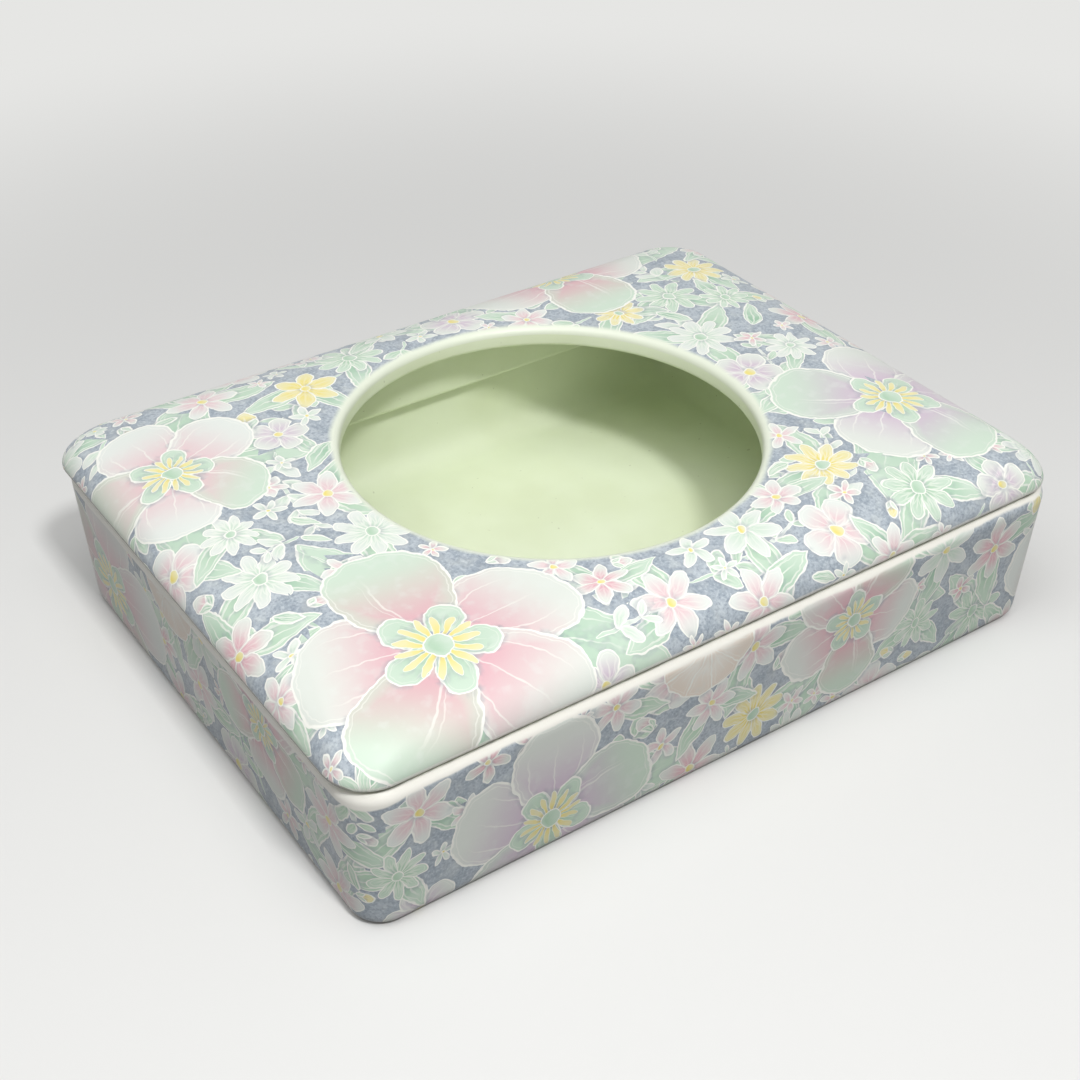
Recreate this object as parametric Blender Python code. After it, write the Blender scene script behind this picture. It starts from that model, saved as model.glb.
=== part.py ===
"""Pocket tissue case: a ceramic box with a lift-off lid, which has a round opening for drawing tissues out.

Metres, +Z up, +X along the length, with the origin in the middle of the face that the case rests on.
"""

import math

import bmesh
import bpy
from mathutils import Vector

# Outline of the case at the rim
LENGTH = 0.140
WIDTH = 0.1052
CORNER_RADIUS = 0.0068

# Base: an open box whose walls lean in towards the foot
BASE_HEIGHT = 0.0279
WALL_THICKNESS = 0.0040
WALL_LEAN = 0.0012
FLOOR_THICKNESS = 0.0040
FLOOR_FILLET = 0.0060
INNER_CORNER_RADIUS = 0.0070
RIM_ROUNDING = 0.0020
RIM_INNER_ROUNDING = 0.0008

# Foot: the ring that the case stands on, round a shallow recess
FOOT_ROUNDING = 0.0024
FOOT_RING_WIDTH = 0.0045
FOOT_RECESS = 0.0008

# Lid: a plate that rests on the rim, with a soft shoulder and a crown that levels out towards the opening
LID_RISE = 0.0083
LID_OVERHANG = 0.0005
LID_EDGE_ROUNDING = 0.0009
LID_THICKNESS = 0.0039
SHOULDER_WIDTH = 0.0034
CROWN_WIDTH = 0.0145
CROWN_HEIGHT = 0.0045
SHOULDER_CORNER_GROWTH = 0.0010
CROWN_CORNER_GROWTH = 0.0240
SEAT_GAP = 0.0003

# Opening in the lid
OPENING_RADIUS = 0.0363
LIP_ROUNDING = 0.0014
THROAT_ROUNDING = 0.0008

# Flange under the lid, which keeps it in place inside the walls, and the side to which the lid lies in its play
FLANGE_DEPTH = 0.0084
FLANGE_THICKNESS = 0.0030
FLANGE_CLEARANCE = 0.0012
FLANGE_ROUNDING = 0.0012
FLANGE_FILLET = 0.0030
LEFTWARD_SHIFT = 0.0003

# Fineness of the faceted surfaces
CORNER_STEPS = 5
LONG_SIDE_STEPS = 12
SHORT_SIDE_STEPS = 8
SHOULDER_STEPS = 5
CROWN_STEPS = 4
TOP_STEPS = 2
ROUNDING_STEPS = 3
FOOT_STEPS = 4
FILLET_STEPS = 4

LEAST_CORNER_RADIUS = 0.0020
SMOOTH_ANGLE = math.radians(32)
ROOM_SHARE = 0.9


def clear_scene():
    """Removes what the file holds, so that only the case is left."""
    for item in list(bpy.data.objects):
        bpy.data.objects.remove(item, do_unlink=True)


def ceramic(name, colour, roughness):
    """A plain glazed ceramic."""
    material = bpy.data.materials.new(name)
    material.use_nodes = True
    shader = material.node_tree.nodes["Principled BSDF"]
    shader.inputs["Base Color"].default_value = (*colour, 1.0)
    shader.inputs["Roughness"].default_value = roughness
    shader.inputs["Metallic"].default_value = 0.0
    return material


def arc(centre, radius, start, end, steps):
    """Points (inset, height) round a centre, with the angles in degrees from the inward direction."""
    points = []
    for step in range(steps + 1):
        angle = math.radians(start + (end - start) * step / steps)
        points.append((centre[0] + radius * math.cos(angle), centre[1] + radius * math.sin(angle)))
    return points


def side_share(step, steps, half_angle):
    """How far along a side a point lies, so that points are seen from the middle at even angles."""
    turn = half_angle * (2 * step / steps - 1)
    return (1 + math.tan(turn) / math.tan(half_angle)) / 2


def outline_marks():
    """Each outline point's place on the rectangle of corner centres, in half lengths, and its outward normal."""
    corners = [(1, 1), (-1, 1), (-1, -1), (1, -1)]
    long_angle = math.atan2(LENGTH / 2 - CORNER_RADIUS, WIDTH / 2)
    short_angle = math.atan2(WIDTH / 2 - CORNER_RADIUS, LENGTH / 2)
    sides = [(LONG_SIDE_STEPS, long_angle), (SHORT_SIDE_STEPS, short_angle)]
    marks = []
    for quarter, (sign_x, sign_y) in enumerate(corners):
        for step in range(CORNER_STEPS + 1):
            angle = math.radians(90 * (quarter + step / CORNER_STEPS))
            marks.append((sign_x, sign_y, math.cos(angle), math.sin(angle)))
        next_x, next_y = corners[(quarter + 1) % 4]
        steps, half_angle = sides[quarter % 2]
        for step in range(1, steps):
            share = side_share(step, steps, half_angle)
            place_x = sign_x + (next_x - sign_x) * share
            place_y = sign_y + (next_y - sign_y) * share
            marks.append((place_x, place_y, math.cos(angle), math.sin(angle)))
    return marks


def rounded_loop(marks, inset, height, radius):
    """A rounded rectangle, drawn in from the rim's outline by the inset."""
    half_x = LENGTH / 2 - inset - radius
    half_y = WIDTH / 2 - inset - radius
    return [Vector((mark[0] * half_x + mark[2] * radius, mark[1] * half_y + mark[3] * radius, height))
            for mark in marks]


def outer_loop(marks, inset, height):
    """A loop on the outside, whose corners stay concentric with the rim's."""
    return rounded_loop(marks, inset, height, max(CORNER_RADIUS - inset, LEAST_CORNER_RADIUS))


def inner_loop(marks, inset, height):
    """A loop on the inside, which keeps its own corner radius."""
    return rounded_loop(marks, inset, height, INNER_CORNER_RADIUS)


def round_loop(marks, radius, height):
    """A circle about the middle, with each point in the direction of its outline point."""
    edge = outer_loop(marks, -LID_OVERHANG, height)
    return [Vector((*(point.xy.normalized() * radius), height)) for point in edge]


def loft(name, loops, closes_on_itself, material, collection):
    """Skins the loops, each of which has a point for every mark. The ends meet each other, or are filled flat."""
    mesh = bmesh.new()
    rings = [[mesh.verts.new(point) for point in loop] for loop in loops]
    count = len(rings[0])
    followers = rings[1:] + rings[:1] if closes_on_itself else rings[1:]
    for near, far in zip(rings, followers):
        for index in range(count):
            after = (index + 1) % count
            mesh.faces.new((near[index], near[after], far[after], far[index]))
    if not closes_on_itself:
        mesh.faces.new(reversed(rings[0]))
        mesh.faces.new(rings[-1])
    data = bpy.data.meshes.new(name)
    mesh.to_mesh(data)
    mesh.free()
    data.shade_smooth()
    data.set_sharp_from_angle(angle=SMOOTH_ANGLE)
    data.materials.append(material)
    piece = bpy.data.objects.new(name, data)
    collection.objects.link(piece)
    return piece


def wall_inset(height):
    """How far the inner face of the leaning wall lies in from the rim's outline."""
    return WALL_THICKNESS + WALL_LEAN * (1 - height / BASE_HEIGHT)


def make_base(marks, collection):
    """The open box, from the recess underneath, up the outside, over the rim and down to its floor."""
    foot_edge = WALL_LEAN + FOOT_ROUNDING
    ring_edge = foot_edge + FOOT_RING_WIDTH
    rim_inner_edge = WALL_THICKNESS - RIM_INNER_ROUNDING
    fillet_height = FLOOR_THICKNESS + FLOOR_FILLET
    outside = [(ring_edge + FOOT_RECESS, FOOT_RECESS), (ring_edge, 0.0)]
    outside += arc((foot_edge, FOOT_ROUNDING), FOOT_ROUNDING, 270, 180, FOOT_STEPS)
    outside += arc((RIM_ROUNDING, BASE_HEIGHT - RIM_ROUNDING), RIM_ROUNDING, 180, 90, ROUNDING_STEPS)
    inside = arc((rim_inner_edge, BASE_HEIGHT - RIM_INNER_ROUNDING), RIM_INNER_ROUNDING, 90, 0, ROUNDING_STEPS)
    inside += arc((wall_inset(fillet_height) + FLOOR_FILLET, fillet_height), FLOOR_FILLET, 180, 270,
                  FILLET_STEPS)
    loops = [outer_loop(marks, inset, height) for inset, height in outside]
    loops += [inner_loop(marks, inset, height) for inset, height in inside]
    glaze = ceramic("base_glaze", (0.62, 0.66, 0.70), 0.42)
    return loft("base", loops, False, glaze, collection)


def lid_edge_profile(shoulder_width, crown_width):
    """Distances in from the lid's side and heights, over the shoulder and up the crown to the level top."""
    side_height = SEAT_GAP + LID_EDGE_ROUNDING
    shoulder_height = LID_RISE - CROWN_HEIGHT - side_height
    distances = [shoulder_width * (1 - math.cos(math.radians(90 * step / SHOULDER_STEPS)))
                 for step in range(1, SHOULDER_STEPS + 1)]
    distances += [shoulder_width + (crown_width - shoulder_width) * step / CROWN_STEPS
                  for step in range(1, CROWN_STEPS + 1)]
    profile = []
    for distance in distances:
        left_of_shoulder = 1 - min(distance / shoulder_width, 1)
        left_of_crown = 1 - distance / crown_width
        shoulder = shoulder_height * math.sqrt(1 - left_of_shoulder ** 2)
        crown = CROWN_HEIGHT * (1 - left_of_crown ** 2)
        profile.append((distance, side_height + shoulder + crown))
    return profile


def lid_outside(marks):
    """The lid's outer loops, from its lower edge up the side, over the shoulder and across the top to the lip."""
    lip_radius = OPENING_RADIUS + LIP_ROUNDING
    room = WIDTH / 2 + LID_OVERHANG - lip_radius
    crown_width = min(CROWN_WIDTH, room * ROOM_SHARE)
    shoulder_width = min(SHOULDER_WIDTH, crown_width * ROOM_SHARE)
    side_radius = CORNER_RADIUS + LID_OVERHANG
    loops = [outer_loop(marks, inset, height)
             for inset, height in arc((LID_EDGE_ROUNDING - LID_OVERHANG, LID_EDGE_ROUNDING + SEAT_GAP),
                                      LID_EDGE_ROUNDING, 270, 180, ROUNDING_STEPS)]
    for distance, height in lid_edge_profile(shoulder_width, crown_width):
        over_shoulder = min(distance / shoulder_width, 1)
        over_crown = max(distance - shoulder_width, 0) / (crown_width - shoulder_width)
        radius = side_radius + SHOULDER_CORNER_GROWTH * over_shoulder + CROWN_CORNER_GROWTH * over_crown
        loops.append(rounded_loop(marks, distance - LID_OVERHANG, height, radius))
    crown_edge = loops[-1]
    lip = round_loop(marks, lip_radius, LID_RISE)
    for step in range(1, TOP_STEPS + 1):
        loops.append([start.lerp(end, step / TOP_STEPS) for start, end in zip(crown_edge, lip)])
    return loops


def lid_inside(marks):
    """The lid's inner loops, from the lip down the throat, along the underside and round the flange."""
    underside = LID_RISE - LID_THICKNESS
    outer_face = wall_inset(BASE_HEIGHT - FLANGE_DEPTH) + FLANGE_CLEARANCE
    inner_face = outer_face + FLANGE_THICKNESS
    rounding = min(FLANGE_ROUNDING, FLANGE_THICKNESS / 2 * ROOM_SHARE)
    throat = arc((OPENING_RADIUS + LIP_ROUNDING, LID_RISE - LIP_ROUNDING), LIP_ROUNDING, 90, 180,
                 ROUNDING_STEPS)[1:]
    throat += arc((OPENING_RADIUS + THROAT_ROUNDING, underside + THROAT_ROUNDING), THROAT_ROUNDING, 180, 270,
                  ROUNDING_STEPS)
    loops = [round_loop(marks, radius, height) for radius, height in throat]
    room = WIDTH / 2 - inner_face - OPENING_RADIUS - THROAT_ROUNDING
    fillet = min(FLANGE_FILLET, room * ROOM_SHARE)
    flange = arc((inner_face + fillet, underside - fillet), fillet, 90, 180, FILLET_STEPS)
    flange += arc((inner_face - rounding, rounding - FLANGE_DEPTH), rounding, 0, -90, ROUNDING_STEPS)
    flange += arc((outer_face + rounding, rounding - FLANGE_DEPTH), rounding, 270, 180, ROUNDING_STEPS)
    flange.append((outer_face, SEAT_GAP))
    return loops + [inner_loop(marks, inset, height) for inset, height in flange]


def make_lid(marks, collection):
    """The lid, pushed back until its flange all but meets the back wall. Its heights are counted from the rim."""
    glaze = ceramic("lid_glaze", (0.68, 0.72, 0.76), 0.42)
    lid = loft("lid", lid_outside(marks) + lid_inside(marks), True, glaze, collection)
    lid.location = (-LEFTWARD_SHIFT, FLANGE_CLEARANCE - SEAT_GAP, BASE_HEIGHT)
    return lid


def build():
    """Makes the case in a collection of its own."""
    clear_scene()
    case = bpy.data.collections.new("pocket_tissue_case")
    bpy.context.scene.collection.children.link(case)
    marks = outline_marks()
    make_base(marks, case)
    make_lid(marks, case)
    bpy.context.view_layer.update()


build()
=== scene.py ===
import math
import random
from functools import partialmethod

import bmesh
import bpy
import numpy as np
from mathutils import Matrix, Vector


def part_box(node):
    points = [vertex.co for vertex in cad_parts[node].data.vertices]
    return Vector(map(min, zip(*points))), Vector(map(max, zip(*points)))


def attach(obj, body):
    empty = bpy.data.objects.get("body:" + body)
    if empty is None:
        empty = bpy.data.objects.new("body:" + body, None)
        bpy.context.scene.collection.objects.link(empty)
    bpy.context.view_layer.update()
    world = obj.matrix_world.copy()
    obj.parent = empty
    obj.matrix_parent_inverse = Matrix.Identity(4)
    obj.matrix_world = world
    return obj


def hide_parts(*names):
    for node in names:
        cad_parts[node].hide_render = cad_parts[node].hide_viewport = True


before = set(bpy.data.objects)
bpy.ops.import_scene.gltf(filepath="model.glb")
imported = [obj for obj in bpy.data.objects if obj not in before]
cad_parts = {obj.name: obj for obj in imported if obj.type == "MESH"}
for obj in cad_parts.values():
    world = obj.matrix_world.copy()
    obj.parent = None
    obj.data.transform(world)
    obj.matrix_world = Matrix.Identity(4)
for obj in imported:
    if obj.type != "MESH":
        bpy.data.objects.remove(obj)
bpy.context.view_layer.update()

# Sizes read from the frame, in metres
BASE_LOW, BASE_HIGH = (Vector(corner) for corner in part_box("base"))
LID_LOW, LID_HIGH = (Vector(corner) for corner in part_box("lid"))
LENGTH = BASE_HIGH.x - BASE_LOW.x
WIDTH = BASE_HIGH.y - BASE_LOW.y
BASE_HEIGHT = BASE_HIGH.z
LID_CENTRE = (LID_LOW + LID_HIGH) / 2
LID_OVERHANG = (LID_HIGH.x - LID_LOW.x - LENGTH) / 2
LID_RISE = LID_HIGH.z - BASE_HEIGHT
FLANGE_DEPTH = BASE_HEIGHT - LID_LOW.z

# Sizes of the base's ceramic wall, in metres
CORNER_RADIUS = 0.0068
WALL_THICKNESS = 0.0040
WALL_LEAN = 0.0012
FLOOR_THICKNESS = 0.0040
FLOOR_FILLET = 0.0060
INNER_CORNER_RADIUS = 0.0070
RIM_ROUNDING = 0.0020
RIM_INNER_ROUNDING = 0.0008
FOOT_ROUNDING = 0.0024
FOOT_RING_WIDTH = 0.0045
FOOT_RECESS = 0.0008

# Sizes of the lid, in metres
LID_EDGE_ROUNDING = 0.0009
LID_THICKNESS = 0.0039
SHOULDER_WIDTH = 0.0034
CROWN_WIDTH = 0.0145
CROWN_HEIGHT = 0.0045
SHOULDER_CORNER_GROWTH = 0.0010
CROWN_CORNER_GROWTH = 0.0240
SEAT_GAP = 0.0003
OPENING_RADIUS = 0.0363
LIP_ROUNDING = 0.0014
THROAT_ROUNDING = 0.0008
FLANGE_THICKNESS = 0.0030
FLANGE_CLEARANCE = 0.0012
FLANGE_ROUNDING = 0.0012
FLANGE_FILLET = 0.0030

# Fineness of the surfaces
CORNER_STEPS = 10
LONG_SIDE_STEPS = 120
SHORT_SIDE_STEPS = 88
WALL_STEPS = 22
INNER_WALL_STEPS = 6
SHOULDER_STEPS = 9
CROWN_STEPS = 12
TOP_STEPS = 12
ROUNDING_STEPS = 5
SMOOTH_ANGLE = math.radians(40)
MERGE_DISTANCE = 0.000001

# The cream band under the base's rim, in metres: its widths, how far from the left end the left one ends
# and the front one starts, and how much its edge waves
LEFT_BAND = 0.0025
FRONT_BAND = 0.0013
RIGHT_BAND = 0.0006
LEFT_BAND_END = 0.0005
FRONT_BAND_START = 0.012
BAND_WAVE = 0.0014

# The dirt and painted shade along the seam, in metres: how far down the rim and up the lid it goes, and how
# near to the lid's left end it starts to rise to its left height, and has risen; the rise paints the shadow
# under the lid's overhang there
RIM_DIRT_AND_SHADE_DEPTH = 0.00035
FRONT_DIRT_AND_SHADE_TOP = 0.00045
LEFT_DIRT_AND_SHADE_TOP = 0.00112
LEFT_DIRT_AND_SHADE_START = 0.0030
LEFT_DIRT_AND_SHADE_FULL = 0.0008

# Where the print begins and ends, in metres
CLAY_TOP = 0.0004
WALL_PRINT_START = 0.0009
LID_PRINT_START = 0.0012
LIP_PRINT_GAP = 0.0012
LIP_WAVE = 0.0010

# The print is drawn in millimetres, on a sheet that is wrapped round the piece
MM = 1000
PRINT_SEED = 7
WALL_BLOSSOMS = 8
INK_WOBBLE = 1.7
INK_LAYERS = 6
STROKE_MARGIN = 1.1
NEARLY_ZERO = 0.001
NO_STROKE = (-900.0, 0.0, 1.0)


def srgb(red, green, blue):
    """A linear colour from the 0 to 255 values that a screen shows."""
    channels = []
    for value in (red, green, blue):
        share = value / 255
        channels.append(share / 12.92 if share <= 0.04045 else ((share + 0.055) / 1.055) ** 2.4)
    return (*channels, 1.0)


GROUND = srgb(184, 193, 200)
GROUND_DARK = srgb(159, 170, 180)
GROUND_SPECK = srgb(200, 208, 213)
GROUND_SHADE = srgb(130, 140, 153)
LINE_CREAM = srgb(250, 250, 242)
CREAM = srgb(226, 231, 223)
TIP_GREEN = srgb(208, 226, 208)
WHITE = srgb(230, 235, 229)
ROSE = srgb(226, 172, 183)
BLUSH = srgb(230, 196, 201)
LILAC = srgb(208, 186, 206)
MINT = srgb(177, 208, 180)
PALE_MINT = srgb(204, 224, 205)
SAGE = srgb(157, 195, 167)
LEMON = srgb(238, 221, 118)
PALE_LEMON = srgb(238, 231, 180)
RIM_CREAM = srgb(251, 249, 240)
RIM_SHADE = srgb(234, 222, 208)
LIP_CREAM = srgb(232, 238, 220)
GREEN_GLAZE = srgb(232, 240, 214)
GREEN_GLAZE_DEEP = srgb(224, 232, 202)
PINHOLE = srgb(120, 118, 84)
# Brown of the seam line: partly dirt, partly painted shade of the gap between lid and base
SEAM_DIRT_AND_SHADE = srgb(76, 66, 50)
CLAY = srgb(214, 199, 178)
CLAY_PALE = srgb(230, 219, 202)
CLAY_STAIN = srgb(122, 92, 66)
FLOOR = srgb(228, 228, 226)
LIT_FLOOR = srgb(105, 105, 105)
BLACK = srgb(0, 0, 0)
BACKGROUND = srgb(230, 230, 228)
SURROUNDING = (0.245, 0.245, 0.248, 1.0)


# Shape of the pieces

def arc(centre, radius, start, end, steps=ROUNDING_STEPS):
    """Points (inset, height) round a centre, with the angles in degrees from the inward direction."""
    points = []
    for step in range(steps + 1):
        angle = math.radians(start + (end - start) * step / steps)
        points.append((centre[0] + radius * math.cos(angle), centre[1] + radius * math.sin(angle)))
    return points


def between(start, end, steps):
    """Points on the straight line between two points, without the two."""
    return [(start[0] + (end[0] - start[0]) * step / steps, start[1] + (end[1] - start[1]) * step / steps)
            for step in range(1, steps)]


def outline_marks():
    """Each outline point's place on the rectangle of corner centres, in half lengths, and its normal."""
    corners = [(1, 1), (-1, 1), (-1, -1), (1, -1)]
    long_angle = math.atan2(LENGTH / 2 - CORNER_RADIUS, WIDTH / 2)
    short_angle = math.atan2(WIDTH / 2 - CORNER_RADIUS, LENGTH / 2)
    sides = [(LONG_SIDE_STEPS, long_angle), (SHORT_SIDE_STEPS, short_angle)]
    marks = []
    for quarter, (sign_x, sign_y) in enumerate(corners):
        for step in range(CORNER_STEPS + 1):
            angle = math.radians(90 * (quarter + step / CORNER_STEPS))
            marks.append((sign_x, sign_y, math.cos(angle), math.sin(angle)))
        next_x, next_y = corners[(quarter + 1) % 4]
        steps, half_angle = sides[quarter % 2]
        for step in range(1, steps):
            share = (1 + math.tan(half_angle * (2 * step / steps - 1)) / math.tan(half_angle)) / 2
            marks.append((sign_x + (next_x - sign_x) * share, sign_y + (next_y - sign_y) * share,
                          math.cos(angle), math.sin(angle)))
    return np.array(marks)


MARKS = outline_marks()


def rounded_ring(inset, height, radius, centre=(0.0, 0.0)):
    """A rounded rectangle, drawn in from the rim's outline by the inset."""
    half_x = LENGTH / 2 - inset - radius
    half_y = WIDTH / 2 - inset - radius
    return np.column_stack((centre[0] + MARKS[:, 0] * half_x + MARKS[:, 2] * radius,
                            centre[1] + MARKS[:, 1] * half_y + MARKS[:, 3] * radius,
                            np.full(len(MARKS), height)))


def outer_ring(inset, height, centre=(0.0, 0.0)):
    """A ring on the outside, whose corners stay concentric with the rim's."""
    return rounded_ring(inset, height, max(CORNER_RADIUS - inset, 0.002), centre)


def inner_ring(inset, height, centre=(0.0, 0.0)):
    """A ring on the inside, which keeps its own corner radius."""
    return rounded_ring(inset, height, INNER_CORNER_RADIUS, centre)


def wall_inset(height):
    """How far the inner face of the leaning wall lies in from the rim's outline."""
    return WALL_THICKNESS + WALL_LEAN * (1 - height / BASE_HEIGHT)


def base_rings():
    """The rings of the base, and the numbers of those at the ends of its print and of its inside."""
    foot_edge = WALL_LEAN + FOOT_ROUNDING
    ring_edge = foot_edge + FOOT_RING_WIDTH
    fillet_height = FLOOR_THICKNESS + FLOOR_FILLET
    under = [(ring_edge + FOOT_RECESS * 2, FOOT_RECESS), (ring_edge + FOOT_RECESS, FOOT_RECESS * 0.85),
             (ring_edge, 0.0)]
    foot = arc((foot_edge, FOOT_ROUNDING), FOOT_ROUNDING, 270, 180)
    rim = arc((RIM_ROUNDING, BASE_HEIGHT - RIM_ROUNDING), RIM_ROUNDING, 180, 90)
    outside = under + foot + between(foot[-1], rim[0], WALL_STEPS) + rim
    inner_rim = arc((WALL_THICKNESS - RIM_INNER_ROUNDING, BASE_HEIGHT - RIM_INNER_ROUNDING),
                    RIM_INNER_ROUNDING, 90, 0)
    fillet = arc((wall_inset(fillet_height) + FLOOR_FILLET, fillet_height), FLOOR_FILLET, 180, 270,
                 ROUNDING_STEPS * 2)
    inside = inner_rim + between(inner_rim[-1], fillet[0], INNER_WALL_STEPS) + fillet
    rings = [outer_ring(*point) for point in outside] + [inner_ring(*point) for point in inside]
    return rings, (len(under), len(outside) + 1)


def lid_edge_profile():
    """Distances in from the lid's side and heights, over the shoulder and up the crown to the level top."""
    side_height = SEAT_GAP + LID_EDGE_ROUNDING
    shoulder_height = LID_RISE - CROWN_HEIGHT - side_height
    distances = [SHOULDER_WIDTH * (1 - math.cos(math.radians(90 * step / SHOULDER_STEPS)))
                 for step in range(1, SHOULDER_STEPS + 1)]
    distances += [SHOULDER_WIDTH + (CROWN_WIDTH - SHOULDER_WIDTH) * step / CROWN_STEPS
                  for step in range(1, CROWN_STEPS + 1)]
    profile = []
    for distance in distances:
        left_of_shoulder = 1 - min(distance / SHOULDER_WIDTH, 1)
        shoulder = shoulder_height * math.sqrt(1 - left_of_shoulder ** 2)
        crown = CROWN_HEIGHT * (1 - (1 - distance / CROWN_WIDTH) ** 2)
        profile.append((distance, side_height + shoulder + crown))
    return profile


def lid_rings():
    """The rings of the lid, the first at its lower edge, and the numbers at the ends of its print."""
    centre = (LID_CENTRE.x, LID_CENTRE.y)
    side_radius = CORNER_RADIUS + LID_OVERHANG
    edge_centre = (LID_EDGE_ROUNDING - LID_OVERHANG, LID_EDGE_ROUNDING + SEAT_GAP)
    edge = arc(edge_centre, LID_EDGE_ROUNDING, 270, 180)
    rings = [outer_ring(inset, BASE_HEIGHT + height, centre) for inset, height in edge]
    for distance, height in lid_edge_profile():
        over_shoulder = min(distance / SHOULDER_WIDTH, 1)
        over_crown = max(distance - SHOULDER_WIDTH, 0) / (CROWN_WIDTH - SHOULDER_WIDTH)
        radius = side_radius + SHOULDER_CORNER_GROWTH * over_shoulder + CROWN_CORNER_GROWTH * over_crown
        rings.append(rounded_ring(distance - LID_OVERHANG, BASE_HEIGHT + height, radius, centre))
    edge_directions = rings[0][:, :2] - centre
    edge_directions /= np.linalg.norm(edge_directions, axis=1)[:, None]

    def circle(radius, height):
        heights = np.full(len(MARKS), BASE_HEIGHT + height)
        return np.column_stack((edge_directions * radius + centre, heights))

    crown_edge, lip = rings[-1], circle(OPENING_RADIUS + LIP_ROUNDING, LID_RISE)
    rings += [crown_edge + (lip - crown_edge) * step / TOP_STEPS for step in range(1, TOP_STEPS + 1)]
    lip_points = arc((OPENING_RADIUS + LIP_ROUNDING, LID_RISE - LIP_ROUNDING), LIP_ROUNDING, 90, 180)[1:]
    rings += [circle(*point) for point in lip_points]
    print_end = len(rings)
    underside = LID_RISE - LID_THICKNESS
    throat = arc((OPENING_RADIUS + THROAT_ROUNDING, underside + THROAT_ROUNDING), THROAT_ROUNDING, 180, 270)
    rings += [circle(*point) for point in throat]
    outer_face = wall_inset(BASE_HEIGHT - FLANGE_DEPTH) + FLANGE_CLEARANCE
    inner_face = outer_face + FLANGE_THICKNESS
    flange = arc((inner_face + FLANGE_FILLET, underside - FLANGE_FILLET), FLANGE_FILLET, 90, 180)
    flange += arc((inner_face - FLANGE_ROUNDING, FLANGE_ROUNDING - FLANGE_DEPTH), FLANGE_ROUNDING, 0, -90)
    flange += arc((outer_face + FLANGE_ROUNDING, FLANGE_ROUNDING - FLANGE_DEPTH), FLANGE_ROUNDING, 270, 180)
    flange.append((outer_face, SEAT_GAP))
    rings += [inner_ring(inset, BASE_HEIGHT + height, centre) for inset, height in flange]
    return rings, (0, print_end)


def place_ring(piece, ring, number):
    """Puts the selected points of the mesh in edit mode at their places on a ring."""
    mesh = bmesh.from_edit_mesh(piece.data)
    mark = mesh.verts.layers.int["mark"]
    ring_number = mesh.verts.layers.int["ring"]
    for point in mesh.verts:
        if point.select:
            point.co = ring[point[mark]]
            point[ring_number] = number
    bmesh.update_edit_mesh(piece.data, loop_triangles=False, destructive=False)


def extruded_shell(name, rings, closes_on_itself):
    """Starts from a circle of points and extrudes it from ring to ring. The ends meet, or are filled."""
    bpy.ops.object.select_all(action="DESELECT")
    bpy.ops.mesh.primitive_circle_add(vertices=len(MARKS), radius=LENGTH / 2)
    piece = bpy.context.object
    piece.name = name
    piece.data.name = name
    mark = piece.data.attributes.new("mark", "INT", "POINT")
    mark.data.foreach_set("value", np.arange(len(MARKS), dtype=np.int32))
    piece.data.attributes.new("ring", "INT", "POINT")
    bpy.ops.object.mode_set(mode="EDIT")
    bpy.ops.mesh.select_mode(type="EDGE")
    bpy.ops.mesh.select_all(action="SELECT")
    place_ring(piece, rings[0], 0)
    for number, ring in enumerate(rings[1:], 1):
        bpy.ops.mesh.extrude_region_move()
        place_ring(piece, ring, number)
    if closes_on_itself:
        bpy.ops.mesh.extrude_region_move()
        place_ring(piece, rings[0], len(rings))
        bpy.ops.mesh.select_all(action="SELECT")
        bpy.ops.mesh.remove_doubles(threshold=MERGE_DISTANCE)
    else:
        bpy.ops.mesh.select_all(action="SELECT")
        bpy.ops.mesh.fill_holes(sides=0)
    bpy.ops.mesh.select_all(action="SELECT")
    bpy.ops.mesh.normals_make_consistent(inside=False)
    bpy.ops.object.mode_set(mode="OBJECT")
    piece.location = (0, 0, 0)
    bpy.ops.object.shade_smooth_by_angle(angle=SMOOTH_ANGLE)
    return piece


# The print: strokes on a sheet, the first at the bottom

class Sheet:
    """The strokes of one printed surface. Lengths are in millimetres and angles in degrees."""

    def __init__(self, seed):
        self.strokes = []
        self.taken = []
        self.chance = random.Random(seed)

    def stroke(self, x, y, turn, length, half_width, inks, petals=1, swell=1.0, point=2.0, bend=0.0,
               line=0.42, veins=0.0, fold=0.0):
        """A petal, leaf, stem or disc from (x, y) outwards, or a whole flower of equal petals."""
        inner, outer = inks
        self.strokes.append({
            "x": x, "y": y, "turn": math.radians(turn), "petals": petals,
            "form": (length, half_width, swell), "finish": (point, bend, fold),
            "inner": (*inner[:3], line), "outer": (*outer[:3], veins)})

    def disc(self, x, y, radius, inks, line=0.2):
        """A round dot, such as a flower's eye."""
        self.stroke(x - radius, y, 0, radius * 2, radius, inks, line=line)

    def is_free(self, x, y, radius, share=1.0):
        """Whether a round place is clear of those that are taken."""
        return all(math.hypot(x - other_x, y - other_y) > (radius + other) * share
                   for other_x, other_y, other in self.taken)

    def take(self, x, y, radius):
        self.taken.append((x, y, radius))


INKS = {
    "rose": (ROSE, CREAM),
    "lilac": (LILAC, CREAM),
    "blush": (BLUSH, WHITE),
    "lemon": (LEMON, PALE_LEMON),
    "mint": (MINT, PALE_MINT),
    "sage": (SAGE, PALE_MINT),
    "white": (PALE_MINT, WHITE),
    "rim": (RIM_CREAM, RIM_SHADE),
}


def beside(x, y, turn, along, aside=0.0):
    """The place so far along a heading from (x, y), and so far to its left."""
    angle = math.radians(turn)
    return (x + along * math.cos(angle) - aside * math.sin(angle),
            y + along * math.sin(angle) + aside * math.cos(angle))


def leaf(sheet, x, y, turn, length, ink="mint", slim=0.2, bend=0.0):
    """A pointed oval leaf with fine veins."""
    sheet.stroke(x, y, turn, length, length * slim, INKS[ink], point=1.25, swell=0.85, bend=bend,
                 line=0.36, veins=0.9)


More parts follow.
